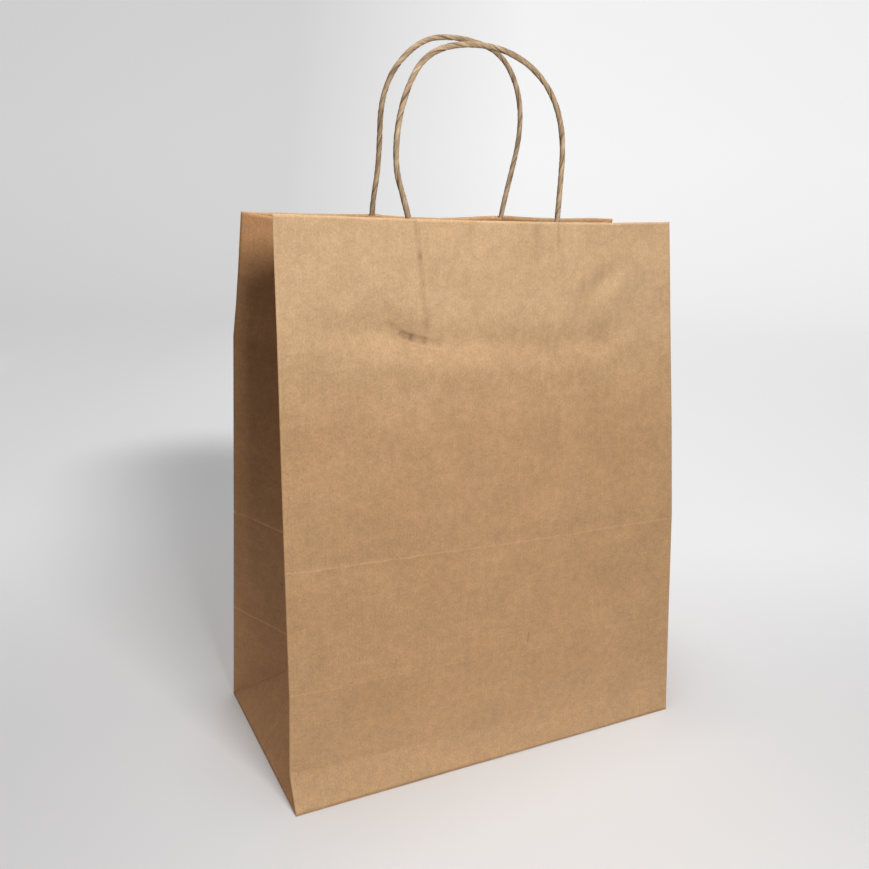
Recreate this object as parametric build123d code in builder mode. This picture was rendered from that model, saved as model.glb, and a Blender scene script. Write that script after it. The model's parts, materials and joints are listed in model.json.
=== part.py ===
from build123d import *
import os
from math import asin, atan2, cos, pi, radians, sin, sqrt, tan

# Gift bag of brown kraft paper: a self-opening, block-bottom bag with two twisted paper cords
# for handles. Millimetres, +Z up. The origin is the middle of the base. +X runs to the right
# along the front wall, and the front wall faces -Y. The bag stands part open: its walls lean
# in from the base, and each side gusset is folded inwards along its middle crease.
#
# The body is one sheet of paper, modelled panel by panel, because it turns at its creases.
# The long walls hinge at their upper crease, which opens and closes the mouth, and each
# cord loop swings about the line where its two legs leave the mouth.

# Driving dimensions of the bag
bag_width = 260.0
bag_depth = 137.0
bag_height = 320.0
paper = 0.2
glue = 0.01
fold_gap = 0.6
hinge_gap = 0.4

# How the walls stand: distance that each wall has leaned in by at its two cross creases,
# the distance left between the top edges, how far the mouth's middle stands forward of the
# base's middle, and the lean of the gusset's foot from upright
lean_at_lower_crease = 9.0
lean_at_upper_crease = 15.0
mouth_gap = 58.5
mouth_forward = 6.5
foot_lean = 36.0

# Base flaps and the lap of the side seam
flap_overlap = 24.0
seam_width = 20.0
seam_edge_gap = 1.5

# Reinforcing strips and handles
patch_width = 150.0
patch_depth = 64.0
patch_top_gap = 1.0
patch_soft_bend = 3.0
tent_half_width = 5.0
cord_diameter = 3.0
cord_end_margin = 6.0
front_handle_centre = -4.5
rear_handle_centre = -7.5
handle_spacing = 92.0
cord_end_chamfer = 0.9
hinge_rise = 3.2
loop_start = 2.35

# Routes of the two cord loops: (across the bag, above the swing axis). The loops are hand
# laid, a little uneven, and each starts and ends over its own two legs.
front_loop_route = [
    (-50.5, loop_start),
    (-62.0, 19.5),
    (-58.5, 55.0),
    (-45.0, 82.0),
    (-9.0, 90.5),
    (26.5, 79.5),
    (49.0, 44.0),
    (41.5, loop_start),
]
rear_loop_route = [
    (-53.5, loop_start),
    (-47.5, 24.0),
    (-48.0, 66.0),
    (-26.0, 97.0),
    (4.0, 102.5),
    (37.5, 94.5),
    (51.0, 50.5),
    (38.5, loop_start),
]

# Levels worked out from the driving dimensions. Each cross crease is as high as the gusset's
# geometry needs: half the depth, and the whole depth.
half_depth = bag_depth / 2
half_width = bag_width / 2
lower_crease = half_depth
upper_crease = bag_depth
floor_layers = 3
floor_top = floor_layers * paper + glue
cord_radius = cord_diameter / 2

# The two long walls at the base, at their creases and at the top: (where the middle between
# them lies, each wall's distance from it, height)
wall_stations = [
    (0, half_depth - paper, floor_top + paper),
    (0, half_depth - lean_at_lower_crease, lower_crease),
    (0, half_depth - lean_at_upper_crease, upper_crease),
    (-mouth_forward, mouth_gap / 2, bag_height),
]

# The gusset's middle crease keeps half the depth of paper between itself and each wall.
foot_rise = half_depth * cos(radians(foot_lean))
foot_reach = half_depth * sin(radians(foot_lean))
crease_drop = upper_crease - (foot_rise + half_depth)


def gusset_reach(station):
    """How far in the gusset's middle crease lies at one of the wall's stations."""
    spread = wall_stations[station][1]
    return sqrt(half_depth**2 - spread**2 - crease_drop**2)


# The middle crease at its three levels: (distance in from the bag's side, place between the
# walls, height)
crease_stations = [
    (foot_reach, 0, foot_rise),
    (gusset_reach(2), 0, upper_crease - crease_drop),
    (gusset_reach(3), -mouth_forward, bag_height - crease_drop),
]


def wall_edge(side_x, side_y, station):
    """The point on a corner edge of the bag at one of the wall's stations."""
    middle, spread, height = wall_stations[station]
    return Vector(side_x * half_width, middle + side_y * spread, height)


def middle_crease(side_x, level):
    """The point on a gusset's middle crease at one of its three levels."""
    reach, middle, height = crease_stations[level]
    return Vector(side_x * (half_width - reach), middle, height)


def drawn_in(corners, gap):
    """The corners of a panel, each moved in from its two edges by the gap."""
    moved = []
    for index, corner in enumerate(corners):
        to_last = (corners[index - 1] - corner).normalized()
        to_next = (corners[(index + 1) % len(corners)] - corner).normalized()
        moved.append(corner + (to_last + to_next) * (gap / to_last.cross(to_next).length))
    return moved


def add_facet(corners):
    """Add one flat triangle of paper, half its thickness to each side of its corners."""
    first, second, third = corners
    edge = second - first
    plane = Plane(origin=first, x_dir=edge, z_dir=edge.cross(third - first))
    with BuildSketch(plane) as facet:
        with BuildLine():
            Polyline(*[plane.to_local_coords(corner) for corner in corners], close=True)
        make_face()
    extrude(facet.sketch, amount=paper / 2, both=True)


def finish(piece, name):
    """Name a finished piece and write its file."""
    piece.label = name
    export_step(piece, f"parts/{name}.step")


def wall_section(side_y, stations, shift):
    """A wall's line across the bag, moved inwards, and kept clear of the upper crease."""
    points = []
    for station in stations:
        middle, spread, height = wall_stations[station]
        points.append(Vector(middle + side_y * (spread - shift), height))
    hinge = list(stations).index(2)
    neighbour = points[hinge - 1] if hinge else points[1]
    points[hinge] += (neighbour - points[hinge]).normalized() * (hinge_gap / 2)
    return points


def add_paper_strip(plane, section, width):
    """Add a strip of paper: its section drawn on a plane, and drawn out to both sides."""
    with BuildSketch(plane) as strip:
        with BuildLine():
            Polyline(*section)
        trace(line_width=paper)
    extrude(strip.sketch, amount=width / 2, both=True)


def wall_frame(side_y):
    """Top edge middle, direction up the wall and direction into the bag, for an upper wall."""
    foot = wall_edge(0, side_y, 2)
    top = wall_edge(0, side_y, 3)
    up = (top - foot).normalized()
    return top, up, Vector(1, 0, 0).cross(up) * side_y


os.makedirs("parts", exist_ok=True)
walls = {"front": -1, "rear": 1}
sides = {"left": -1, "right": 1}

# Base: the gusset flaps lie inside, then the front flap, and the rear flap is glued on last.
for name, side_x in sides.items():
    with BuildPart() as side_flap:
        with BuildSketch(Plane.XY.offset(2 * paper)):
            with Locations((side_x * (half_width - half_depth / 2), 0)):
                Rectangle(half_depth, bag_depth)
        extrude(amount=paper)
    finish(side_flap.part, f"base_side_flap_{name}")

for name, side_y in walls.items():
    layer = 1 if name == "front" else 0
    flap_length = half_depth + flap_overlap / 2
    near = side_y * half_depth
    far = side_y * (half_depth - flap_length)
    with BuildPart() as long_flap:
        with BuildSketch(Plane.XY.offset(layer * paper)):
            with BuildLine():
                Polyline(
                    (-half_width, near),
                    (half_width, near),
                    (half_width - flap_length, far),
                    (flap_length - half_width, far),
                    close=True,
                )
            make_face()
        extrude(amount=paper)
    finish(long_flap.part, f"base_{name}_flap")

# Long walls: below the upper crease they bend a little at the lower one
wall_parts = {"lower": range(0, 3), "upper": range(2, 4)}
for name, side_y in walls.items():
    for part_name, stations in wall_parts.items():
        with BuildPart() as wall:
            add_paper_strip(Plane.YZ, wall_section(side_y, stations, 0), bag_width)
        finish(wall.part, f"{name}_wall_{part_name}")

# Side gussets below the upper crease: a leaning foot and two folded halves each
for side_name, side_x in sides.items():
    foot_tip = middle_crease(side_x, 0)
    corners = [wall_edge(side_x, -1, 0), wall_edge(side_x, 1, 0), foot_tip]
    with BuildPart() as foot:
        add_facet(drawn_in(corners, fold_gap))
    finish(foot.part, f"gusset_{side_name}_foot")

    for wall_name, side_y in walls.items():
        outline = [
            wall_edge(side_x, side_y, 0),
            wall_edge(side_x, side_y, 2),
            middle_crease(side_x, 1),
            foot_tip,
        ]
        base, shoulder, crease, tip = drawn_in(outline, fold_gap)
        waist = wall_edge(side_x, side_y, 1)
        waist += (foot_tip - waist).normalized() * fold_gap
        with BuildPart() as gusset_half:
            add_facet([base, waist, tip])
            add_facet([waist, crease, tip])
            add_facet([waist, shoulder, crease])
        finish(gusset_half.part, f"gusset_{side_name}_{wall_name}_lower")

# Side gussets above the upper crease, folded in along the middle crease
for side_name, side_x in sides.items():
    for wall_name, side_y in walls.items():
        outline = [
            wall_edge(side_x, side_y, 2),
            wall_edge(side_x, side_y, 3),
            middle_crease(side_x, 2),
            middle_crease(side_x, 1),
        ]
        shoulder, mouth, crease_top, crease_foot = drawn_in(outline, fold_gap)
        with BuildPart() as gusset_half:
            add_facet([shoulder, mouth, crease_top])
            add_facet([shoulder, crease_top, crease_foot])
        finish(gusset_half.part, f"gusset_{side_name}_{wall_name}_upper")

# The seam that closes the sheet into a tube: a lap glued inside the rear wall's right edge
lap_plane = Plane.YZ.offset(half_width - seam_edge_gap - seam_width / 2)
for part_name, stations in wall_parts.items():
    lap_section = wall_section(walls["rear"], stations, paper + glue)
    with BuildPart() as seam_lap:
        add_paper_strip(lap_plane, lap_section, seam_width)
    finish(seam_lap.part, f"seam_lap_{part_name}")

# Inside each upper wall: two reinforcing strips, with the ends of the cord between them
outer_patch_depth = paper + glue
cord_depth = outer_patch_depth + paper / 2 + glue + cord_radius
inner_patch_depth = outer_patch_depth + paper + glue
tent_radius = cord_radius + glue + paper / 2
cord_above_flat = cord_depth - inner_patch_depth
tent_slope = atan2(cord_above_flat, tent_half_width) + asin(
    tent_radius / sqrt(cord_above_flat**2 + tent_half_width**2)
)
ridge_height = tent_half_width * tan(tent_slope)
handle_centres = {"front": front_handle_centre, "rear": rear_handle_centre}

for name, side_y in walls.items():
    top, up, inward = wall_frame(side_y)
    handle_centre = handle_centres[name]
    leg_places = [handle_centre - handle_spacing / 2, handle_centre + handle_spacing / 2]
    wall_plane = Plane(origin=top, x_dir=(side_y, 0, 0), z_dir=inward)
    with BuildPart() as outer_patch:
        with BuildSketch(wall_plane.offset(outer_patch_depth)):
            with Locations((side_y * handle_centre, -patch_top_gap - patch_depth / 2)):
                Rectangle(patch_width, patch_depth)
        extrude(amount=paper / 2, both=True)
    finish(outer_patch.part, f"{name}_patch_outer")

    # The inner strip tents over the two cord ends, so its section is drawn across the wall.
    section_origin = top - up * (patch_top_gap + patch_depth) + inward * inner_patch_depth
    section_plane = Plane(origin=section_origin, x_dir=(1, 0, 0), z_dir=up)
    rise = -side_y * ridge_height
    outline = [(handle_centre - patch_width / 2, 0)]
    for leg_x in leg_places:
        outline += [(leg_x - tent_half_width, 0), (leg_x, rise), (leg_x + tent_half_width, 0)]
    outline.append((handle_centre + patch_width / 2, 0))
    bends = [patch_soft_bend, tent_radius, patch_soft_bend] * len(leg_places)
    with BuildPart() as inner_patch:
        with BuildSketch(section_plane):
            with BuildLine():
                FilletPolyline(*outline, radius=bends)
            trace(line_width=paper)
        extrude(amount=patch_depth)
    finish(inner_patch.part, f"{name}_patch_inner")

    for leg_name, leg_x in zip(sides, leg_places):
        cord_foot = top - up * (patch_top_gap + patch_depth - cord_end_margin)
        cord_foot += inward * cord_depth + Vector(leg_x, 0, 0)
        leg_length = patch_top_gap + patch_depth - cord_end_margin + hinge_rise + cord_radius
        with BuildPart() as cord_end:
            with BuildSketch(Plane(origin=cord_foot, x_dir=(1, 0, 0), z_dir=up)):
                Circle(cord_radius)
            extrude(amount=leg_length)
            chamfer(cord_end.edges().sort_by(Axis.Z)[-1], length=cord_end_chamfer)
        finish(cord_end.part, f"{name}_cord_end_{leg_name}")

# Cord loops, upright over the mouth: straight runs joined by tangent arcs


def arc_radii(route):
    """The radius of the tangent arc at each corner of a route."""
    points = [Vector(*point) for point in route]
    radii = []
    for before, corner, after in zip(points, points[1:], points[2:]):
        turn = (corner - before).get_angle(after - corner)
        shorter = min((corner - before).length, (after - corner).length)
        radii.append(0.45 * shorter / tan(radians(turn) / 2))
    return radii


loop_routes = {"front": front_loop_route, "rear": rear_loop_route}
for name, side_y in walls.items():
    top, up, inward = wall_frame(side_y)
    swing_axis = top + up * hinge_rise + inward * cord_depth
    loop_plane = Plane(origin=swing_axis, x_dir=(1, 0, 0), z_dir=(0, -1, 0))
    radii = arc_radii(loop_routes[name])
    with BuildPart() as loop:
        with BuildLine(loop_plane) as route:
            FilletPolyline(*loop_routes[name], radius=radii)
        path = route.wires()[0]
        with BuildSketch(Plane(origin=path @ 0, z_dir=path % 0)):
            Circle(cord_radius)
        sweep(path=path)
    finish(loop.part, f"{name}_handle_loop")
    tube_volume = pi * cord_radius**2 * path.length
    print(f"{name} loop: axis y {swing_axis.Y:.2f} z {swing_axis.Z:.2f}")
    print(f"  radii {[round(r, 1) for r in radii]}, length {path.length:.1f}")
    print(f"  volume {loop.part.volume:.1f}, section times length {tube_volume:.1f}")
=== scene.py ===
"""Looks of a brown kraft paper gift bag with two twisted paper cord handles.

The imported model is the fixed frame. Each panel of the folded paper, each glued strip and each
cord is a piece of its own, built around the frame's bodies. Metres, +Z up, the front faces -Y.
"""

import json
import logging
import math
from dataclasses import dataclass
from enum import Enum

import bmesh
import bpy
import numpy as np
from mathutils import Matrix, Vector, noise

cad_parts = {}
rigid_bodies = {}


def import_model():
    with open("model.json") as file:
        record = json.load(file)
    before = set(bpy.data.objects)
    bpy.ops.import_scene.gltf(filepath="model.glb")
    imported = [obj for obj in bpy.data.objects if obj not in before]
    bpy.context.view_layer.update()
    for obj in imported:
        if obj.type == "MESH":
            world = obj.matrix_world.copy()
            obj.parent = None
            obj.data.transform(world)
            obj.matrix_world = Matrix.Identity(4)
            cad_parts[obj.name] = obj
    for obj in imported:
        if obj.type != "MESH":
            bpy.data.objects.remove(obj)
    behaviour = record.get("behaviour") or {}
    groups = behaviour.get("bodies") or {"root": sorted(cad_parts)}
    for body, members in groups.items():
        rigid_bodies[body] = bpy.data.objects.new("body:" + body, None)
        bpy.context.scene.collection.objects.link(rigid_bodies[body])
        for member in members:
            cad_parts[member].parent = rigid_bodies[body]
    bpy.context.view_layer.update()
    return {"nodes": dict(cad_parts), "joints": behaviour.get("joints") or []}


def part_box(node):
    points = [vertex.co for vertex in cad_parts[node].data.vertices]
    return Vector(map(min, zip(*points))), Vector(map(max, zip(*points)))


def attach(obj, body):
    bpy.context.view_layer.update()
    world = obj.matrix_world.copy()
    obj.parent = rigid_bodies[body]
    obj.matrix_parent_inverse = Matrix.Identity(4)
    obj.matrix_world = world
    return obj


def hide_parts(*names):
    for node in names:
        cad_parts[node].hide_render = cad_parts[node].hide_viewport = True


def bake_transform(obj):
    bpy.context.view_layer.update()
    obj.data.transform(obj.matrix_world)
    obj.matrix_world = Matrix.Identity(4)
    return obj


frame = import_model()

log = logging.getLogger("gift_bag")


class Wall(Enum):
    """The two long walls, by the side of the bag's middle that each stands on."""

    FRONT = -1
    REAR = 1

    @property
    def word(self) -> str:
        """The wall's name as used in piece and body names."""
        return self.name.lower()


class Hand(Enum):
    """The two ends of the bag, seen from the front."""

    LEFT = -1
    RIGHT = 1

    @property
    def word(self) -> str:
        """The end's name as used in piece names."""
        return self.name.lower()


class PatternSpace(Enum):
    """Where a material's pattern is anchored."""

    SHEET = "sheet"
    OBJECT = "object"


Colour = tuple[float, float, float, float]

# how far in from the cut rim and from any other edge the paper is lightened, as wear and a painted
# highlight, in metres
RIM_WEAR_AND_HIGHLIGHT = 0.0016
EDGE_WEAR_AND_HIGHLIGHT = 0.0012
# how much more a folded corner is lightened than a cut edge, as wear and a painted highlight
CORNER_WEAR_AND_HIGHLIGHT = 1.5
# places that keep each kind of piece in its own part of the paper's pattern
WALL_LAYER, STRIP_LAYER, GUSSET_LAYER = 0.1, 0.2, 0.3
STRIP_SHIFT, LAP_SHIFT = 0.5, 0.7
# vertices that lie closer than this are one, in metres
MERGE_DISTANCE = 1e-6


def eased(share: np.ndarray) -> np.ndarray:
    """A share from 0 to 1, with a soft start and a soft end."""
    return share * share * (3 - 2 * share)


def fading(gap: np.ndarray, reach: float) -> np.ndarray:
    """1 where there is no gap, and 0 from the reach outwards."""
    return np.clip(1 - gap / reach, 0, 1)


def wave(x: np.ndarray, z: np.ndarray, across: float, up: float, turn: float = 0) -> np.ndarray:
    """A sine over the sheet, by its radians per metre across and up."""
    return np.sin(across * x + up * z + turn)


# ---------------------------------------------------------------- shape of the folded paper


@dataclass(frozen=True)
class Fold:
    """A soft ridge or groove pressed into a wall along a bent line."""

    points: tuple[tuple[float, float], ...]
    half_width: float
    height: float
    fade: float = 0.01

    def lift(self, x: np.ndarray, z: np.ndarray) -> np.ndarray:
        """Outward height of the fold.

        Args:
            x: places across the wall, in metres.
            z: heights on the wall, in metres.

        Returns:
            The lift at each place.
        """
        aside = np.full(np.shape(x), np.inf)
        for start, end in zip(self.points, self.points[1:]):
            run_x, run_z = end[0] - start[0], end[1] - start[1]
            along = ((x - start[0]) * run_x + (z - start[1]) * run_z) / (run_x**2 + run_z**2)
            along = np.clip(along, 0, 1)
            gap = np.hypot(x - start[0] - along * run_x, z - start[1] - along * run_z)
            aside = np.minimum(aside, gap)
        ends = [np.hypot(x - end[0], z - end[1]) for end in (self.points[0], self.points[-1])]
        near = np.clip(np.minimum(*ends) / self.fade, 0, 1)
        return self.height * np.exp(-((aside / self.half_width) ** 2)) * eased(near)


@dataclass(frozen=True)
class Dent:
    """A soft rounded bump or hollow in a wall."""

    centre: tuple[float, float]
    radii: tuple[float, float]
    height: float
    tilt: float = 0.0

    def lift(self, x: np.ndarray, z: np.ndarray) -> np.ndarray:
        """Outward height of the dent.

        Args:
            x: places across the wall, in metres.
            z: heights on the wall, in metres.

        Returns:
            The lift at each place.
        """
        turn = math.radians(self.tilt)
        dx, dz = x - self.centre[0], z - self.centre[1]
        along = (dx * math.cos(turn) + dz * math.sin(turn)) / self.radii[0]
        across = (dz * math.cos(turn) - dx * math.sin(turn)) / self.radii[1]
        return self.height * np.exp(-(along**2 + across**2))


@dataclass(frozen=True)
class StripPlace:
    """Where a wall's two strips lie, and each cord leg's place at its foot and at the rim."""

    centre: float
    legs: tuple[tuple[float, float], tuple[float, float]]
    width: float = 0.150
    bottom: float = 0.2562
    top: float = 0.3190
    cord_foot: float = 0.2620

    def leg(self, number: int, z: np.ndarray) -> np.ndarray:
        """How far across the wall a leg lies at the given heights."""
        return np.interp(z, (self.cord_foot, self.top), self.legs[number])


STRIPS: dict[Wall, StripPlace] = {
    Wall.FRONT: StripPlace(centre=-0.0045, legs=((-0.0483, -0.0537), (0.0415, 0.0423))),
    Wall.REAR: StripPlace(centre=-0.0075, legs=((-0.0525, -0.0525), (0.0361, 0.0361))),
}

# (height, distance forward or back) down each corner edge, from the base to the rim
CORNER_EDGES: dict[tuple[Wall, Hand], tuple[tuple[float, float], ...]] = {
    (Wall.FRONT, Hand.LEFT): (
        (0.0006, -0.0683), (0.0190, -0.0575), (0.0685, -0.0592), (0.1370, -0.0545),
        (0.1940, -0.0512), (0.2600, -0.0480), (0.3200, -0.0440),
    ),
    (Wall.FRONT, Hand.RIGHT): (
        (0.0006, -0.0683), (0.0685, -0.0615), (0.1370, -0.0550), (0.1970, -0.0463),
        (0.2410, -0.0392), (0.3200, -0.0268),
    ),
    (Wall.REAR, Hand.LEFT): (
        (0.0006, 0.0683), (0.0685, 0.0602), (0.1370, 0.0518), (0.2100, 0.0436),
        (0.2490, 0.0393), (0.2680, 0.0312), (0.2880, 0.0242), (0.3200, 0.0144),
    ),
    (Wall.REAR, Hand.RIGHT): (
        (0.0006, 0.0683), (0.0685, 0.0598), (0.1370, 0.0510), (0.2100, 0.0455),
        (0.2540, 0.0425), (0.2700, 0.0385), (0.3200, 0.0304),
    ),
}

# (place across the wall, how far the cut rim stands above its even height) for each long wall
RIM_DIPS: dict[Wall, tuple[tuple[float, float], ...]] = {
    Wall.FRONT: (
        (-0.1300, 0.0000), (-0.1160, -0.0001), (-0.0836, -0.0007), (-0.0666, -0.0009),
        (-0.0488, -0.0012), (-0.0112, -0.0014), (0.0367, -0.0015), (0.0832, -0.0012),
        (0.1150, -0.0005), (0.1300, 0.0000),
    ),
    Wall.REAR: (
        (-0.1300, -0.0003), (-0.0900, -0.0004), (-0.0640, -0.0002), (-0.0494, 0.0001),
        (-0.0403, -0.0007), (-0.0235, -0.0013), (-0.0062, -0.0014), (0.0080, -0.0008),
        (0.0255, 0.0003), (0.0405, 0.0008), (0.0608, 0.0001), (0.0850, -0.0002),
        (0.1102, 0.0006), (0.1300, 0.0003),
    ),
}

WALL_MARKS: dict[Wall, tuple[Fold | Dent, ...]] = {
    Wall.FRONT: (
        Fold(((-0.0512, 0.3190), (-0.0496, 0.3004), (-0.0469, 0.2795), (-0.0452, 0.2600)),
             0.0026, 0.00045, 0.004),
        Fold(((0.0430, 0.3190), (0.0420, 0.2700)), 0.0030, 0.00030, 0.006),
        Fold(((-0.0680, 0.2650), (-0.0594, 0.2592), (-0.0506, 0.2560), (-0.0350, 0.2515)),
             0.0022, -0.0009, 0.006),
        Fold(((-0.1300, 0.2660), (-0.0900, 0.2625), (-0.0594, 0.2585), (-0.0370, 0.2530),
              (-0.0036, 0.2520), (0.0426, 0.2480), (0.0803, 0.2506), (0.1130, 0.2650)),
             0.0085, -0.0026, 0.030),
        Dent((-0.0400, 0.2400), (0.0600, 0.0110), 0.0024, -4),
        Dent((-0.0700, 0.2480), (0.0200, 0.0080), 0.0010, -10),
        Fold(((0.0440, 0.2750), (0.0620, 0.2880), (0.0820, 0.3030)), 0.0050, 0.0010, 0.018),
        Fold(((0.0560, 0.2700), (0.0760, 0.2840), (0.0960, 0.2990)), 0.0050, -0.0010, 0.018),
        Fold(((0.0680, 0.2660), (0.0850, 0.2790), (0.1050, 0.2900)), 0.0050, 0.0009, 0.018),
        Fold(((-0.0160, 0.3190), (-0.0162, 0.3000)), 0.0040, -0.0011, 0.008),
        Fold(((0.0286, 0.3190), (0.0305, 0.2890)), 0.0040, -0.0012, 0.008),
        Fold(((-0.0907, 0.3100), (-0.0925, 0.2700)), 0.0045, -0.0012, 0.012),
        Dent((0.1150, 0.3130), (0.0180, 0.0120), -0.0018, 20),
        Dent((-0.1080, 0.2350), (0.0120, 0.0240), -0.0022, 25),
        Dent((-0.0850, 0.2900), (0.0220, 0.0180), 0.0014, 0),
        Fold(((-0.0810, 0.0674), (-0.0825, 0.0489), (-0.0856, 0.0301), (-0.0879, 0.0113)),
             0.0035, -0.0005, 0.010),
        Fold(((-0.1310, 0.1375), (-0.0700, 0.1355), (0.0000, 0.1340), (0.1310, 0.1335)),
             0.0016, 0.00030, 0.004),
        Fold(((-0.1310, 0.0685), (-0.0700, 0.0676), (0.0000, 0.0662), (0.1310, 0.0655)),
             0.0016, 0.00020, 0.004),
        Dent((-0.0300, 0.2000), (0.0600, 0.0300), 0.0020, 20),
        Dent((0.0600, 0.1750), (0.0500, 0.0260), -0.0018, -30),
        Dent((0.0200, 0.0970), (0.0900, 0.0180), -0.0014, 4),
        Dent((0.0200, 0.0350), (0.0900, 0.0180), 0.0008, 0),
    ),
    Wall.REAR: (
        Fold(((-0.0530, 0.3190), (-0.0530, 0.2620)), 0.0026, 0.00045, 0.004),
        Fold(((0.0375, 0.3190), (0.0375, 0.2620)), 0.0026, 0.00045, 0.004),
        Fold(((-0.1100, 0.2600), (-0.0400, 0.2530), (0.0400, 0.2510), (0.1150, 0.2610)),
             0.0080, -0.0012, 0.030),
        Dent((0.0400, 0.2420), (0.0550, 0.0090), 0.0010, 4),
        Fold(((-0.1310, 0.1370), (0.0000, 0.1350), (0.1310, 0.1370)), 0.0016, 0.00030, 0.004),
        Fold(((-0.1310, 0.0685), (0.0000, 0.0670), (0.1310, 0.0685)), 0.0016, 0.00020, 0.004),
        Fold(((0.0700, 0.0660), (0.0820, 0.0400), (0.0850, 0.0120)), 0.0035, -0.0005, 0.010),
        Dent((0.0500, 0.2000), (0.0500, 0.0350), 0.0011, 30),
        Dent((-0.0500, 0.1750), (0.0500, 0.0350), -0.0010, -20),
        Dent((0.0000, 0.0950), (0.0900, 0.0200), -0.0008, -4),
    ),
}


# where each long wall's waves begin, in radians
WAVE_STARTS = {Wall.FRONT: 1.0, Wall.REAR: 2.3}


@dataclass(frozen=True)
class PressMark:
    """A narrow mark along a line of the sheet, mostly painted shade and painted highlight along
    creases, dents and buried cord legs: its line, width, lightening, and outward height.
    """

    start: tuple[float, float]
    end: tuple[float, float]
    half_width: float
    tone: float
    height: float
    broken: float = 0.4


FRONT_CREASES_AND_SHADING: tuple[PressMark, ...] = (
    # the left cord leg under the paper: a pressed groove, darkened along it partly by painted shade
    # on the emboss's flank and partly by the press
    PressMark((-0.0512, 0.3190), (-0.0494, 0.2990), 0.0027, -0.18, -0.00055, 0.3),
    PressMark((-0.0494, 0.2990), (-0.0452, 0.2600), 0.0027, -0.16, -0.00050, 0.4),
    # the right cord leg and two small folds under the rim: shallow grooves with painted shade along
    # them
    PressMark((0.0428, 0.3190), (0.0423, 0.3020), 0.0018, -0.11, -0.00025, 0.3),
    PressMark((0.0286, 0.3190), (0.0305, 0.2890), 0.0040, -0.05, -0.00020, 0.4),
    PressMark((-0.0160, 0.3190), (-0.0162, 0.3000), 0.0045, -0.05, -0.00020, 0.4),
    # the dent at the strips' lower edge: painted shade in the dent, and below it a line of painted
    # highlight
    PressMark((-0.0680, 0.2650), (-0.0590, 0.2588), 0.0028, -0.09, -0.00030, 0.2),
    PressMark((-0.0600, 0.2592), (-0.0540, 0.2568), 0.0026, -0.18, -0.00070, 0.2),
    PressMark((-0.0540, 0.2568), (-0.0460, 0.2548), 0.0029, -0.19, -0.00070, 0.2),
    PressMark((-0.0460, 0.2548), (-0.0370, 0.2528), 0.0024, -0.10, -0.00045, 0.3),
    PressMark((-0.0560, 0.2548), (-0.0390, 0.2500), 0.0016, 0.06, 0.00030, 0.2),
    # painted shade above the upper crease and painted light below it, with no relief
    PressMark((-0.1310, 0.1434), (0.0000, 0.1400), 0.0080, -0.045, 0.0, 0.3),
    PressMark((0.0000, 0.1400), (0.1310, 0.1390), 0.0080, -0.045, 0.0, 0.3),
    PressMark((-0.1310, 0.1310), (0.0000, 0.1276), 0.0080, 0.035, 0.0, 0.3),
    PressMark((0.0000, 0.1276), (0.1310, 0.1266), 0.0080, 0.035, 0.0, 0.3),
    # a thin light line along the upper crease: painted highlight, with the fold's wear
    PressMark((-0.1310, 0.1374), (0.0000, 0.1340), 0.0011, 0.14, 0.00012, 0.3),
    PressMark((0.0000, 0.1340), (0.1310, 0.1330), 0.0011, 0.14, 0.00012, 0.4),
    # light flecks along the lower crease: painted highlight, with the fold's wear
    PressMark((-0.1310, 0.0688), (-0.1000, 0.0672), 0.0009, 0.16, 0.00012, 0.2),
    PressMark((-0.0960, 0.0674), (-0.0560, 0.0672), 0.0008, 0.09, 0.00010, 0.6),
    PressMark((-0.0560, 0.0672), (0.0400, 0.0640), 0.0008, 0.09, 0.00010, 0.8),
    PressMark((0.0800, 0.0672), (0.1310, 0.0652), 0.0022, 0.05, 0.00010, 0.4),
    # small marks: two darker ticks, two lighter lines and a dark dot
    PressMark((-0.0673, 0.0764), (-0.0685, 0.0714), 0.0006, -0.22, -0.00015, 0.0),
    PressMark((0.0211, 0.0751), (0.0203, 0.0696), 0.0006, -0.24, -0.00015, 0.0),
    PressMark((-0.0687, 0.0645), (-0.0602, 0.0392), 0.0006, 0.10, 0.00012, 0.2),
    PressMark((-0.1290, 0.0194), (-0.1262, 0.0192), 0.0007, 0.18, 0.00015, 0.0),
    PressMark((-0.1266, 0.1912), (-0.1265, 0.1911), 0.0007, -0.45, -0.00010, 0.0),
)

REAR_CREASES_AND_SHADING: tuple[PressMark, ...] = (
    # the cord legs under the paper: pressed grooves, darkened partly by painted shade on the emboss
    # and partly by the press
    PressMark((-0.0530, 0.3190), (-0.0530, 0.2620), 0.0011, -0.11, -0.00020, 0.2),
    PressMark((0.0375, 0.3190), (0.0375, 0.2620), 0.0011, -0.11, -0.00020, 0.2),
    # light lines along the upper and lower creases: painted highlight, with the folds' wear
    PressMark((-0.1310, 0.1370), (0.0000, 0.1350), 0.0010, 0.10, 0.00012, 0.4),
    PressMark((0.0000, 0.1350), (0.1310, 0.1370), 0.0010, 0.10, 0.00012, 0.4),
    PressMark((-0.1310, 0.0685), (0.0000, 0.0670), 0.0008, 0.10, 0.00010, 0.7),
    PressMark((0.0000, 0.0670), (0.1310, 0.0685), 0.0008, 0.10, 0.00010, 0.7),
    # a lighter diagonal line and a darker tick
    PressMark((0.0680, 0.0640), (0.0600, 0.0400), 0.0006, 0.09, 0.00012, 0.3),
    PressMark((-0.0500, 0.0770), (-0.0508, 0.0715), 0.0006, -0.20, -0.00015, 0.0),
)

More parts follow.
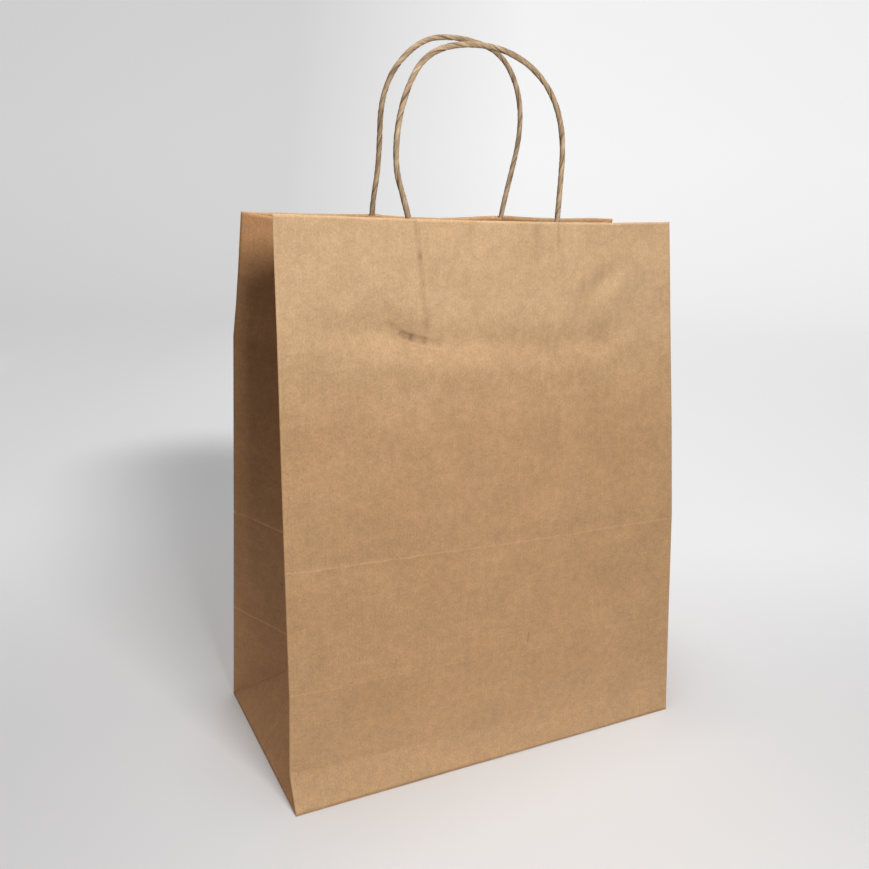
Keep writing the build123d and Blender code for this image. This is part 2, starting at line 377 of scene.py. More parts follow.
GUSSET_CREASES_AND_SHADING: tuple[PressMark, ...] = (
    # light lines along the gusset's creases: painted highlight, with the folds' wear
    PressMark((-0.0700, 0.1370), (0.0700, 0.1370), 0.0011, 0.24, 0.00015, 0.2),
    PressMark((-0.0700, 0.0685), (0.0700, 0.0685), 0.0011, 0.34, 0.00015, 0.1),
    PressMark((-0.0685, 0.0000), (0.0000, 0.0685), 0.0009, 0.15, 0.00012, 0.2),
    PressMark((0.0685, 0.0000), (0.0000, 0.0685), 0.0009, 0.15, 0.00012, 0.2),
    PressMark((0.0000, 0.0000), (0.0000, 0.0685), 0.0007, 0.20, 0.00012, 0.7),
    PressMark((0.0000, 0.0685), (0.0000, 0.3200), 0.0010, 0.14, 0.00010, 0.3),
)


@dataclass(frozen=True)
class BagShape:
    """The folded sheet: its corner edges, walls and gusset creases."""

    half_width: float = 0.130
    half_depth: float = 0.0685
    lower_crease: float = 0.0685
    upper_crease: float = 0.137
    rim: float = 0.320
    foot_reach: float = 0.0403
    foot_rise: float = 0.0554
    crease_drop: float = 0.0131
    rim_rise: float = 0.0035
    paper: float = 0.0002
    base_height: float = 0.0006
    base_reach: float = 0.0683
    corner_ease: float = 0.012
    slow_height: float = 0.0005
    quick_height: float = 0.00018
    crumple_height: float = 0.00042
    crumple_scale: tuple[float, float] = (75, 60)
    crumple_sharpness: float = 0.7
    crumple_from: float = 0.245
    crumple_rise: float = 0.020
    gusset_bow: float = 0.0012
    gusset_waver: float = 0.0003

    def rim_height(self, wall: Wall, x: np.ndarray) -> np.ndarray:
        """The height of a long wall's cut rim."""
        places, dips = zip(*RIM_DIPS[wall])
        return self.rim + np.interp(x, places, dips)

    def edge(self, wall: Wall, hand: Hand, z: np.ndarray) -> np.ndarray:
        """How far forward or back a corner edge lies at the given heights."""
        heights, places = zip(*CORNER_EDGES[(wall, hand)])
        return np.interp(z, heights, places)

    def wall(self, wall: Wall, x: np.ndarray, z: np.ndarray, inset: float = 0.0) -> np.ndarray:
        """How far forward or back a long wall lies.

        Args:
            wall: which long wall.
            x: places across the wall.
            z: heights on the wall.
            inset: distance inwards from the wall's own paper.

        Returns:
            The Y of each place.
        """
        share = (x + self.half_width) / (2 * self.half_width)
        left, right = (self.edge(wall, hand, z) for hand in Hand)
        flat = left + (right - left) * share
        away = np.clip((self.half_width - np.abs(x)) / self.corner_ease, 0, 1)
        marks = sum(mark.lift(x, z) for mark in WALL_MARKS[wall])
        return flat + wall.value * (marks * away + self.ripple(wall, x, z) * away - inset)

    def ripple(self, wall: Wall, x: np.ndarray, z: np.ndarray) -> np.ndarray:
        """The unevenness of a sheet that stands by itself, with a crumple in its handled top.

        Args:
            wall: which long wall.
            x: places across the wall.
            z: heights on the wall.

        Returns:
            The outward lift of each place.
        """
        turn = WAVE_STARTS[wall]
        slow = wave(x, z, 23, 17, turn) * wave(x, z, -11, 19, 2 * turn)
        quick = wave(x, z, 61, -37, 3 * turn) * wave(x, z, 29, 53)
        wide, high = self.crumple_scale
        crumple = []
        for across, up in zip(np.ravel(x), np.ravel(z)):
            soft = noise.noise((wide * across, high * up, turn))
            sharp = noise.noise((2 * wide * across, 2 * high * up, -turn))
            crumple.append(soft - self.crumple_sharpness * abs(sharp))
        band = np.clip((z - self.crumple_from) / self.crumple_rise, 0, 1)
        place = STRIPS[wall]
        for number in range(len(place.legs)):
            aside = np.abs(x - place.leg(number, z))
            band = band * np.clip(aside / self.corner_ease, 0, 1)
        handled = self.crumple_height * band * np.reshape(crumple, np.shape(z))
        return self.slow_height * slow + self.quick_height * quick + handled

    def middle_crease(self, hand: Hand, z: np.ndarray) -> np.ndarray:
        """The middle crease of a gusset, above its foot.

        Args:
            hand: which end of the bag.
            z: heights on the corner edges, at or above the lower crease.

        Returns:
            One row per height: the point of the middle crease that lies across from it.
        """
        front, rear = (self.edge(wall, hand, z) for wall in Wall)
        reach = np.sqrt(self.half_depth**2 - ((rear - front) / 2) ** 2 - self.crease_drop**2)
        share = np.clip(
            (z - self.lower_crease) / (self.upper_crease - self.lower_crease), 0, 1
        )
        tip_height = self.foot_rise - self.lower_crease
        up = np.clip((z - self.upper_crease) / (self.rim - self.upper_crease), 0, 1)
        reach = self.foot_reach + (reach - self.foot_reach) * share
        middle = (front + rear) / 2 * share
        drop = tip_height + (-self.crease_drop - tip_height) * share + self.rim_rise * up**2
        return np.stack([hand.value * (self.half_width - reach), middle, z + drop], axis=1)

    def gusset(self, wall: Wall, hand: Hand, across: np.ndarray, z: np.ndarray) -> np.ndarray:
        """Points of one folded half of a side gusset.

        Args:
            wall: the long wall that the half joins.
            hand: which end of the bag.
            across: 0 at the corner edge and 1 at the middle crease.
            z: heights on the corner edge.

        Returns:
            One row of X, Y and Z per point.
        """
        edge_y = self.edge(wall, hand, z)
        edge = np.stack([np.full_like(z, hand.value * self.half_width), edge_y, z], axis=1)
        crease = self.middle_crease(hand, np.maximum(z, self.lower_crease))
        low = self.base_height
        corner = np.array([hand.value * self.half_width, wall.value * self.base_reach, low])
        rise = np.clip((z - low) / (self.lower_crease - low), 0, 1)[:, None]
        crease = corner + (crease - corner) * rise
        points = edge + (crease - edge) * across[:, None]
        height = np.clip((z - self.upper_crease) / (self.rim - self.upper_crease), 0, 1)
        middle = np.sin(math.pi * across)
        bow = middle * (self.gusset_bow * np.sin(math.pi * height))
        bow += self.gusset_waver * wave(across, z, 5, 41) * middle
        points[:, 0] += hand.value * bow
        return points


SHAPE = BagShape()


# ---------------------------------------------------------------- mesh helpers


def link(name: str, bm: bmesh.types.BMesh) -> bpy.types.Object:
    """Turn a finished bmesh into a smooth object at the origin.

    Args:
        name: the piece's name.
        bm: its mesh, which is freed.

    Returns:
        The new object.
    """
    bmesh.ops.recalc_face_normals(bm, faces=bm.faces)
    for face in bm.faces:
        face.smooth = True
    mesh = bpy.data.meshes.new(name)
    bm.to_mesh(mesh)
    bm.free()
    piece = bpy.data.objects.new(name, mesh)
    bpy.context.scene.collection.objects.link(piece)
    return piece


def unit_grid(columns: int, rows: int) -> tuple[bmesh.types.BMesh, np.ndarray, np.ndarray]:
    """A flat grid from 0 to 1 both ways, ready to be moved into shape.

    Args:
        columns: faces across.
        rows: faces along.

    Returns:
        The bmesh, and its vertices' places across and along.
    """
    bm = bmesh.new()
    bmesh.ops.create_grid(bm, x_segments=columns, y_segments=rows, size=0.5)
    places = np.array([vert.co for vert in bm.verts])
    return bm, places[:, 0] + 0.5, places[:, 1] + 0.5


def settle(bm: bmesh.types.BMesh, points: np.ndarray, flat: np.ndarray, rim: np.ndarray) -> None:
    """Move a grid's vertices into place and note where each lies on the flat sheet.

    Args:
        bm: the grid.
        points: X, Y and Z of each vertex.
        flat: place of each vertex on the sheet before it was folded, in metres.
        rim: how much the paper is lightened, as wear and a painted highlight: 1 at a cut edge of
            the sheet and 0 away from it.
    """
    sheet_layer = bm.verts.layers.float_vector.new("sheet")
    rim_layer = bm.verts.layers.float.new("rim")
    for vert, point, place, lightened in zip(bm.verts, points, flat, rim):
        vert.co = point
        vert[sheet_layer] = (place[0], place[1], place[2])
        vert[rim_layer] = lightened


def sheet(name: str, bm: bmesh.types.BMesh, finish: bpy.types.Material) -> bpy.types.Object:
    """Turn a settled grid into a piece of paper, with half its thickness to each side.

    Args:
        name: the piece's name.
        bm: the grid, which is freed.
        finish: the paper's material.

    Returns:
        The piece.
    """
    piece = link(name, bm)
    solid = piece.modifiers.new("Thickness", "SOLIDIFY")
    solid.thickness = SHAPE.paper
    solid.offset = 0.0
    solid.use_even_offset = True
    piece.data.materials.append(finish)
    return piece


# ---------------------------------------------------------------- materials


@dataclass(frozen=True)
class Grain:
    """A noise in a finish: its scale, detail and roughness, the values it spans, its stretch."""

    scale: float
    detail: float
    roughness: float
    band: tuple[float, float]
    stretch: tuple[float, float, float] = (1.0, 1.0, 1.0)


class Graph:
    """A material's node tree, with short calls for the nodes that these finishes use."""

    def __init__(self, name: str) -> None:
        """Start a material with only its shader and output.

        Args:
            name: the material's name.
        """
        self.material = bpy.data.materials.new(name)
        self.material.use_nodes = True
        self.tree = self.material.node_tree
        self.tree.nodes.clear()
        self.shader = self.tree.nodes.new("ShaderNodeBsdfPrincipled")
        output = self.tree.nodes.new("ShaderNodeOutputMaterial")
        self.tree.links.new(self.shader.outputs["BSDF"], output.inputs["Surface"])

    def node(self, kind: str, **settings: object) -> bpy.types.Node:
        """Add a node and set its properties.

        Args:
            kind: the node's type.
            settings: the properties and their values.

        Returns:
            The node.
        """
        made = self.tree.nodes.new(kind)
        for name, value in settings.items():
            setattr(made, name, value)
        return made

    def put(self, socket: bpy.types.NodeSocket, value: object) -> None:
        """Link an output to a socket, or write a plain value on it.

        Args:
            socket: the input.
            value: an output, a number, a vector or a colour.
        """
        if isinstance(value, bpy.types.NodeSocket):
            self.tree.links.new(value, socket)
        elif socket.type == "VECTOR":
            socket.default_value = tuple(value)[:3]
        else:
            socket.default_value = value

    def math(self, operation: str, first: object, second: object = 0.0) -> bpy.types.NodeSocket:
        """A Math node of two values.

        Args:
            operation: what it works out.
            first: the first value.
            second: the second value.

        Returns:
            The result.
        """
        made = self.node("ShaderNodeMath", operation=operation)
        self.put(made.inputs[0], first)
        self.put(made.inputs[1], second)
        return made.outputs[0]

    def scaled(self, vector: object, scale: tuple[float, float, float]) -> bpy.types.NodeSocket:
        """A vector stretched along its three axes.

        Args:
            vector: the vector.
            scale: the factor for each axis.

        Returns:
            The stretched vector.
        """
        made = self.node("ShaderNodeVectorMath", operation="MULTIPLY")
        self.put(made.inputs[0], vector)
        made.inputs[1].default_value = scale
        return made.outputs[0]

    def dot(self, vector: object, other: tuple[float, float, float]) -> bpy.types.NodeSocket:
        """The dot product of a vector and a fixed one.

        Args:
            vector: the vector.
            other: the fixed vector.

        Returns:
            The product.
        """
        made = self.node("ShaderNodeVectorMath", operation="DOT_PRODUCT")
        self.put(made.inputs[0], vector)
        made.inputs[1].default_value = other
        return made.outputs["Value"]

    def noise(self, place: object, grain: Grain) -> bpy.types.NodeSocket:
        """A grain's noise, about 0.5 in the middle.

        Args:
            place: where the noise is read.
            grain: its scale and softness.

        Returns:
            The noise's value.
        """
        made = self.node("ShaderNodeTexNoise")
        self.put(made.inputs["Vector"], self.scaled(place, grain.stretch))
        made.inputs["Scale"].default_value = grain.scale
        made.inputs["Detail"].default_value = grain.detail
        made.inputs["Roughness"].default_value = grain.roughness
        return made.outputs["Fac"]

    def toned(
        self, tone: object, value: object, grain: Grain, low: float, high: float
    ) -> bpy.types.NodeSocket:
        """A tone made lighter and darker by a grain.

        Args:
            tone: the tone so far.
            value: the grain's noise.
            grain: the grain, whose band of values is used.
            low: the factor at the band's low end.
            high: the factor at its high end.

        Returns:
            The new tone.
        """
        return self.math("MULTIPLY", tone, self.spread(value, *grain.band, low, high))

    def spread(
        self, value: object, low: float, high: float, to_low: float = 0.0, to_high: float = 1.0,
        easing: str = "LINEAR"
    ) -> bpy.types.NodeSocket:
        """A value mapped from one range to another, and held inside it.

        Args:
            value: the value.
            low: the start of its range.
            high: the end of its range.
            to_low: what the start becomes.
            to_high: what the end becomes.
            easing: how it goes from one to the other.

        Returns:
            The mapped value.
        """
        made = self.node("ShaderNodeMapRange", interpolation_type=easing)
        self.put(made.inputs["Value"], value)
        for name, number in zip(
            ("From Min", "From Max", "To Min", "To Max"), (low, high, to_low, to_high)
        ):
            made.inputs[name].default_value = number
        return made.outputs["Result"]

    def blend(self, amount: object, first: object, second: object) -> bpy.types.NodeSocket:
        """One colour mixed into another.

        Args:
            amount: 0 for only the first, 1 for only the second.
            first: a colour.
            second: another colour.

        Returns:
            The mixed colour.
        """
        made = self.node("ShaderNodeMix", data_type="RGBA")
        self.put(made.inputs["Factor"], amount)
        self.put(made.inputs["A"], first)
        self.put(made.inputs["B"], second)
        return next(socket for socket in made.outputs if socket.type == "RGBA")

    def blend_value(self, amount: object, first: object, second: object) -> bpy.types.NodeSocket:
        """One number mixed into another.

        Args:
            amount: 0 for only the first, 1 for only the second.
            first: a number.
            second: another number.

        Returns:
            The mixed number.
        """
        made = self.node("ShaderNodeMix", data_type="FLOAT")
        self.put(made.inputs["Factor"], amount)
        self.put(made.inputs["A"], first)
        self.put(made.inputs["B"], second)
        return made.outputs["Result"]

    def shade(self, colour: object, amount: object) -> bpy.types.NodeSocket:
        """A colour made lighter or darker.

        Args:
            colour: the colour.
            amount: the factor, 1 where nothing changes.

        Returns:
            The new colour.
        """
        made = self.node("ShaderNodeVectorMath", operation="SCALE")
        self.put(made.inputs[0], colour)
        self.put(made.inputs["Scale"], amount)
        return made.outputs[0]

    def near_line(self, vector: object, mark: PressMark) -> bpy.types.NodeSocket:
        """How near a place is to a mark's line.

        Args:
            vector: the place on the sheet.
            mark: the mark.

        Returns:
            1 on the line, and 0 from the mark's half width outwards.
        """
        run = (mark.end[0] - mark.start[0], mark.end[1] - mark.start[1], 0.0)
        square = run[0] ** 2 + run[1] ** 2
        start = self.node("ShaderNodeVectorMath", operation="SUBTRACT")
        self.put(start.inputs[0], vector)
        start.inputs[1].default_value = (*mark.start, 0.0)
        along = self.math("DIVIDE", self.dot(start.outputs[0], run), square)
        nearest = self.node("ShaderNodeVectorMath", operation="SCALE")
        nearest.inputs[0].default_value = run
        self.put(nearest.inputs["Scale"], self.spread(along, 0.0, 1.0))
        gap = self.node("ShaderNodeVectorMath", operation="DISTANCE")
        self.put(gap.inputs[0], start.outputs[0])
        self.put(gap.inputs[1], nearest.outputs[0])
        return self.spread(gap.outputs["Value"], 0.0, mark.half_width, 1.0, 0.0, "SMOOTHSTEP")

    def attribute(self, name: str, output: str = "Vector") -> bpy.types.NodeSocket:
        """One of the piece's own attributes."""
        return self.node("ShaderNodeAttribute", attribute_name=name).outputs[output]

    def bump(
        self, height: object, strength: float, distance: float, under: object = None
    ) -> bpy.types.NodeSocket:
        """A bumped normal.

        Args:
            height: the height at each place.
            strength: how much of it shows.
            distance: the height that stands for 1, in metres.
            under: a normal to bump further.

        Returns:
            The normal.
        """
        made = self.node("ShaderNodeBump")
        if under is not None:
            self.put(made.inputs["Normal"], under)
        made.inputs["Strength"].default_value = strength
        made.inputs["Distance"].default_value = distance
        self.put(made.inputs["Height"], height)
        return made.outputs["Normal"]


CLOUDS = Grain(55.0, 4.0, 0.55, (0.30, 0.70))
MOTTLE = Grain(210.0, 4.0, 0.60, (0.35, 0.65))
FIBRES = Grain(1000.0, 3.0, 0.65, (0.32, 0.68), (1.0, 0.75, 1.0))
STREAKS = Grain(900.0, 2.0, 0.55, (0.25, 0.75), (1.0, 0.06, 1.0))
WARMTH = Grain(34.0, 3.0, 0.55, (0.35, 0.65))
SPECKS = Grain(2600.0, 1.0, 0.5, (0.70, 0.80), (1.0, 0.35, 1.0))
BREAKS = Grain(150.0, 3.0, 0.6, (0.42, 0.58))
CORD_FIBRES = Grain(1.0, 3.0, 0.6, (0.30, 0.70), (900.0, 160.0, 1.0))
CORD_PATCHES = Grain(1.0, 3.0, 0.55, (0.35, 0.65), (300.0, 55.0, 1.0))


@dataclass(frozen=True)
class KraftPaper:
    """Uncoated brown kraft paper: cloudy, fibrous, faintly streaked, with painted shade and painted
    highlights along its creases, and edges lightened by wear and a painted highlight.
    """

    name: str
    colour: Colour
    pale: Colour
    cloud: float = 0.060
    mottle: float = 0.070
    fibre: float = 0.13
    streak: float = 0.04
    speck: float = 0.86
    wear: float = 0.22
    warmest: float = 0.5
    waver: float = 0.0016
    waver_scale: float = 110.0
    presses: tuple[PressMark, ...] = ()
    space: PatternSpace = PatternSpace.SHEET
    roughness: tuple[float, float] = (0.62, 0.80)
    # the paler colour blended in at the top band and the foot: painted sheen and light at the top,
    # partly the strips backing the paper there, and painted light at the foot
    handled: Colour | None = None
    handled_top: tuple[float, float] = (0.205, 0.275)
    handled_foot: float = 0.050

    def build(self) -> bpy.types.Material:
        """Make the material.

        Returns:
            The finished material.
        """
        g = Graph(self.name)
        if self.space is PatternSpace.SHEET:
            place = g.attribute("sheet")
        else:
            place = g.node("ShaderNodeTexCoord").outputs["Object"]
        clouds, mottle = g.noise(place, CLOUDS), g.noise(place, MOTTLE)
        fibres, streaks = g.noise(place, FIBRES), g.noise(place, STREAKS)
        tone = g.spread(clouds, *CLOUDS.band, 1.0 - self.cloud, 1.0 + self.cloud)
        tone = g.toned(tone, mottle, MOTTLE, 1.0 - self.mottle, 1.0 + self.mottle)
        tone = g.toned(tone, fibres, FIBRES, 1.0 - self.fibre, 1.0 + self.fibre)
        tone = g.toned(tone, streaks, STREAKS, 1.0 - self.streak, 1.0 + self.streak)
        tone = g.toned(tone, g.noise(place, SPECKS), SPECKS, 1.0, self.speck)
        warm = g.spread(g.noise(place, WARMTH), *WARMTH.band, 0.0, self.warmest)
        colour = g.blend(warm, self.colour, self.pale)
        # the top band and the foot are painted paler, as painted sheen and light
        if self.handled:
            colour = g.blend(self.bareness(g, place, clouds), colour, self.handled)
        press = 0.0
        if self.presses:
            tone, press = self.pressed(g, place, tone)
        # the cut rim and the edges are lightened, as wear and a painted highlight
        tone = g.math("ADD", tone, g.math("MULTIPLY", g.attribute("rim", "Fac"), self.wear))
        g.put(g.shader.inputs["Base Color"], g.shade(colour, tone))
        g.put(g.shader.inputs["Roughness"], g.spread(mottle, 0.3, 0.7, *self.roughness))
        g.shader.inputs["Specular IOR Level"].default_value = 0.25
        g.shader.inputs["Sheen Weight"].default_value = 0.06
        g.shader.inputs["Sheen Roughness"].default_value = 0.5
        height = g.math("ADD", g.math("MULTIPLY", fibres, 0.7), g.math("MULTIPLY", streaks, 0.3))
        fine = g.bump(height, strength=0.45, distance=0.00012)
        normal = g.bump(press, strength=1.0, distance=0.001, under=fine)
        g.put(g.shader.inputs["Normal"], normal)
        return g.material

    def bareness(self, g: Graph, place: object, clouds: object) -> bpy.types.NodeSocket:
        """How much paler the paper is painted towards its top and its foot: painted sheen and light
        at the top, partly the strips backing the paper there, and painted light at the foot.

        Args:
            g: the material's graph.
            place: the place on the sheet.
            clouds: a noise that makes the edge of the pale paper uneven.

        Returns:
            0 away from the top and the foot, up to 1 at the top.
        """
        up = g.dot(place, (0.0, 1.0, 0.0))
        up = g.math("ADD", up, g.spread(clouds, *CLOUDS.band, -0.008, 0.008))
        foot = g.spread(up, self.handled_foot, 0.0, 0.0, 0.5)
        return g.math("MAXIMUM", g.spread(up, *self.handled_top), foot)

    def pressed(
        self, g: Graph, place: object, tone: object
    ) -> tuple[bpy.types.NodeSocket, bpy.types.NodeSocket]:
        """The marks along lines of the sheet: grooves, with painted shade and painted highlights
        along them.

        Args:
            g: the material's graph.
            place: the place on the sheet.
            tone: the tone so far.

        Returns:
            The new tone, and the marks' height in millimetres.
        """
        waver = g.node("ShaderNodeTexNoise")
        g.put(waver.inputs["Vector"], place)
        waver.inputs["Scale"].default_value = self.waver_scale
        moved = g.node("ShaderNodeVectorMath", operation="MULTIPLY_ADD")
        g.put(moved.inputs[0], waver.outputs["Color"])
        moved.inputs[1].default_value = (self.waver, self.waver, 0.0)
        g.put(moved.inputs[2], g.scaled(place, (1.0, 1.0, 0.0)))
        shift = g.node("ShaderNodeVectorMath", operation="SUBTRACT")
        g.put(shift.inputs[0], moved.outputs[0])
        shift.inputs[1].default_value = (self.waver / 2, self.waver / 2, 0.0)
        breaks = g.noise(place, BREAKS)
        press = 0.0
        for mark in self.presses:
            near = g.near_line(shift.outputs[0], mark)
            if mark.broken:
                near = g.toned(near, breaks, BREAKS, 1.0 - mark.broken, 1.0)
            # each mark's tone is added along its line: painted shade and painted highlight for most
            # of them
            tone = g.math("ADD", tone, g.math("MULTIPLY", near, mark.tone))
            press = g.math("ADD", press, g.math("MULTIPLY", near, mark.height * 1000))
        return tone, press


@dataclass(frozen=True)
class TwistedCord:
    """Kraft paper twisted into a cord: pale along the strands' crowns, and dark in their grooves
    with painted shade.
    """

    name: str
    colour: Colour
    # the colour of the strands' grooves, dark with painted shade
    groove: Colour
    crown: Colour

    def build(self) -> bpy.types.Material:
        """Make the material.

        Returns:
            The finished material.
        """
        g = Graph(self.name)
        place = g.attribute("lay")
        depth = g.attribute("groove", "Fac")
        fine, patches = g.noise(place, CORD_FIBRES), g.noise(place, CORD_PATCHES)
        colour = g.blend(g.spread(patches, *CORD_PATCHES.band), self.colour, self.crown)
        # painted shade darkens the grooves between the strands
        colour = g.blend(g.spread(depth, 0.15, 1.0, 0.0, 0.85), colour, self.groove)
        tone = g.spread(patches, 0.3, 0.7, 0.92, 1.06)
        tone = g.toned(tone, fine, CORD_FIBRES, 0.62, 1.30)
        g.put(g.shader.inputs["Base Color"], g.shade(colour, tone))
        g.put(g.shader.inputs["Roughness"], g.spread(fine, 0.3, 0.7, 0.55, 0.75))
        g.shader.inputs["Specular IOR Level"].default_value = 0.3
        g.put(g.shader.inputs["Normal"], g.bump(fine, strength=0.35, distance=0.00015))
        return g.material


# ---------------------------------------------------------------- paper pieces


@dataclass
class LongWall:
    """A long wall of the bag: one sheet from the base to the rim, turned at its upper crease."""

    wall: Wall
    finish: bpy.types.Material
    cell: float = 0.0016
    low: float = 0.0007
    crease_reach: float = 0.0020

    def skin(self) -> bpy.types.Object:
        """Build the wall's skin from the base to its rim.

        Returns:
            The piece.
        """
        low = self.low
        columns = round(2 * SHAPE.half_width / self.cell)
        rows = round((SHAPE.rim - low) / self.cell)
        bm, across, along = unit_grid(columns, rows)
        x = (across * 2 - 1) * SHAPE.half_width
        high = SHAPE.rim_height(self.wall, x)
        z = low + along * (high - low)
        points = np.stack([x, SHAPE.wall(self.wall, x, z), z], axis=1)
        flat = np.stack([x, z, np.full_like(x, WALL_LAYER * self.wall.value)], axis=1)
        # the rim and the corner edges are lightened, as wear and a painted highlight
        corner = fading(SHAPE.half_width - np.abs(x), EDGE_WEAR_AND_HIGHLIGHT)
        settle(bm, points, flat, np.maximum(fading(high - z, RIM_WEAR_AND_HIGHLIGHT), CORNER_WEAR_AND_HIGHLIGHT * corner))
        return sheet(f"{self.wall.word}_panel", bm, self.finish)

    def build(self) -> None:
        """Build the wall's skin."""
        word = self.wall.word
        skin = self.skin()
        turn = Vector((0, crease_y(self.wall), SHAPE.upper_crease))
        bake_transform(skin)
        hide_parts(f"{word}_wall_lower", f"{word}_wall_upper")
        log.info("%s wall: one sheet", word)


@dataclass
class SideGusset:
    """A side gusset: its leaning foot, and two halves folded in along the middle crease."""

    hand: Hand
    finish: bpy.types.Material
    columns: int = 38
    row_size: float = 0.0018
    edge_wear: float = 0.02
    foot_cuts: int = 40
    foot_bulge: float = 0.0010
    foot_edge: float = 0.25
    samples: int = 40
    margin: float = 0.0010

    def foot(self) -> None:
        """Build the three-cornered foot that leans in over the base."""
        side, low, reach = self.hand.value, SHAPE.base_height, SHAPE.base_reach
        corners = [
            (side * SHAPE.half_width, -reach, low),
            (side * SHAPE.half_width, reach, low),
            (side * (SHAPE.half_width - SHAPE.foot_reach), 0.0, SHAPE.foot_rise),
        ]
        bm = bmesh.new()
        bm.faces.new([bm.verts.new(corner) for corner in corners])
        bmesh.ops.subdivide_edges(bm, edges=bm.edges[:], cuts=self.foot_cuts, use_grid_fill=True)
        places = np.array([vert.co for vert in bm.verts])
        rise = (places[:, 2] - low) / (SHAPE.foot_rise - low)
        width = fading(np.abs(places[:, 1]), reach * np.maximum(1 - rise, 1e-6))
        ends = np.clip(rise / self.foot_edge, 0, 1) * np.clip((1 - rise) / self.foot_edge, 0, 1)
        places[:, 0] += side * self.foot_bulge * ends * width
        layer = np.full(len(rise), GUSSET_LAYER * side)
        flat = np.stack([places[:, 1], rise * SHAPE.lower_crease, layer], axis=1)
        settle(bm, places, flat, np.zeros(len(rise)))
        piece = sheet(f"gusset_{self.hand.word}_foot_panel", bm, self.finish)
        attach(piece, "lower_bag")
        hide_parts(f"gusset_{self.hand.word}_foot")

    def half(self, wall: Wall, low: float, high: float, name: str) -> bpy.types.Object:
        """Build one folded half of the gusset between two heights of its corner edge.

        Args:
            wall: the long wall that the half joins.
            low: the lowest height.
            high: the highest height.
            name: the piece's name.

        Returns:
            The piece.
        """
        rows = round((high - low) / self.row_size)
        bm, across, along = unit_grid(self.columns, rows)
        z = low + along * (high - low)
        points = SHAPE.gusset(wall, self.hand, across, z)
        reach = across * np.where(z < SHAPE.lower_crease, z, SHAPE.half_depth)
        sideways = wall.value * (SHAPE.half_depth - reach)
        flat = np.stack([sideways, z, np.full_like(z, GUSSET_LAYER * self.hand.value)], axis=1)
        # the rim and the corner edge are lightened, as wear and a painted highlight
        rim = fading(SHAPE.rim - z, RIM_WEAR_AND_HIGHLIGHT)
        settle(bm, points, flat, np.maximum(rim, fading(across, self.edge_wear)))
        bmesh.ops.remove_doubles(bm, verts=bm.verts, dist=MERGE_DISTANCE)
        piece = sheet(name, bm, self.finish)
        return piece

    def bend(self, piece: bpy.types.Object, wall: Wall) -> None:
        """Fix an upper half's place into its mesh.

        Args:
            piece: the upper half.
            wall: the long wall that it joins.
        """
        z = np.linspace(SHAPE.upper_crease, SHAPE.rim, self.samples)
        edge = SHAPE.gusset(wall, self.hand, np.zeros_like(z), z)
        crease = SHAPE.gusset(wall, self.hand, np.ones_like(z), z)
        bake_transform(piece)

    def build(self) -> None:
        """Build the foot and the four folded panels."""
        self.foot()
        for wall in Wall:
            stem = f"gusset_{self.hand.word}_{wall.word}"
            low = SHAPE.base_height
            lower = self.half(wall, low, SHAPE.upper_crease, f"{stem}_lower_panel")
            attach(lower, "lower_bag")
            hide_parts(f"{stem}_lower")
            upper = self.half(wall, SHAPE.upper_crease, SHAPE.rim, f"{stem}_upper_panel")
            self.bend(upper, wall)
            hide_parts(f"{stem}_upper")
        log.info("%s gusset: foot and four panels", self.hand.word)


def crease_y(wall: Wall) -> float:
    """Y of a long wall's upper crease in the frame."""
    low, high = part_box(f"{wall.word}_wall_upper")
    return low.y if wall is Wall.FRONT else high.y


@dataclass
class HandleStrips:
    """The two paper strips glued inside a wall, with the ends of the cord between them."""

    wall: Wall
    finish: bpy.types.Material
    glue: float = 0.00001
    tent_width: float = 0.0060
    tent_height: float = 0.0035
    tent_foot: float = 0.006
    cell: float = 0.0012

    def strip(self, name: str, inset: float, tented: bool) -> bpy.types.Object:
        """Build one strip.

        Args:
            name: the piece's name.
            inset: how far inside the wall's paper it lies.
            tented: whether it lifts over the cord ends.

        Returns:
            The piece.
        """
        place = STRIPS[self.wall]
        height = place.top - place.bottom
        bm, across, along = unit_grid(round(place.width / self.cell), round(height / self.cell))
        x = place.centre + (across - 0.5) * place.width
        top = place.top - SHAPE.rim + SHAPE.rim_height(self.wall, x)
        z = place.bottom + along * (top - place.bottom)
        depth = np.full_like(x, inset)
        if tented:
            for number in range(len(place.legs)):
                rise = eased(fading(np.abs(x - place.leg(number, z)), self.tent_width))
                foot = eased(np.clip((z - place.bottom) / self.tent_foot, 0, 1))
                depth += self.tent_height * rise * foot
        y = SHAPE.wall(self.wall, x, z) - self.wall.value * depth
        points = np.stack([x, y, z], axis=1)
        flat = np.stack([x + STRIP_SHIFT, z, np.full_like(x, STRIP_LAYER)], axis=1)
        edge = np.minimum(np.minimum(across, 1 - across) * place.width,
                          np.minimum(along, 1 - along) * height)
        settle(bm, points, flat, fading(edge, EDGE_WEAR_AND_HIGHLIGHT))
        piece = sheet(name, bm, self.finish)
        return piece

    def build(self) -> None:
        """Build both strips and put them on the wall's body."""
        word = self.wall.word
        step = SHAPE.paper + self.glue
        for name, layer, tented in (("outer", 1, False), ("inner", 2, True)):
            piece = self.strip(f"{word}_strip_{name}", layer * step, tented)
            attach(piece, f"{word}_upper")
            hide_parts(f"{word}_patch_{name}")
        log.info("%s strips: outer and inner", word)


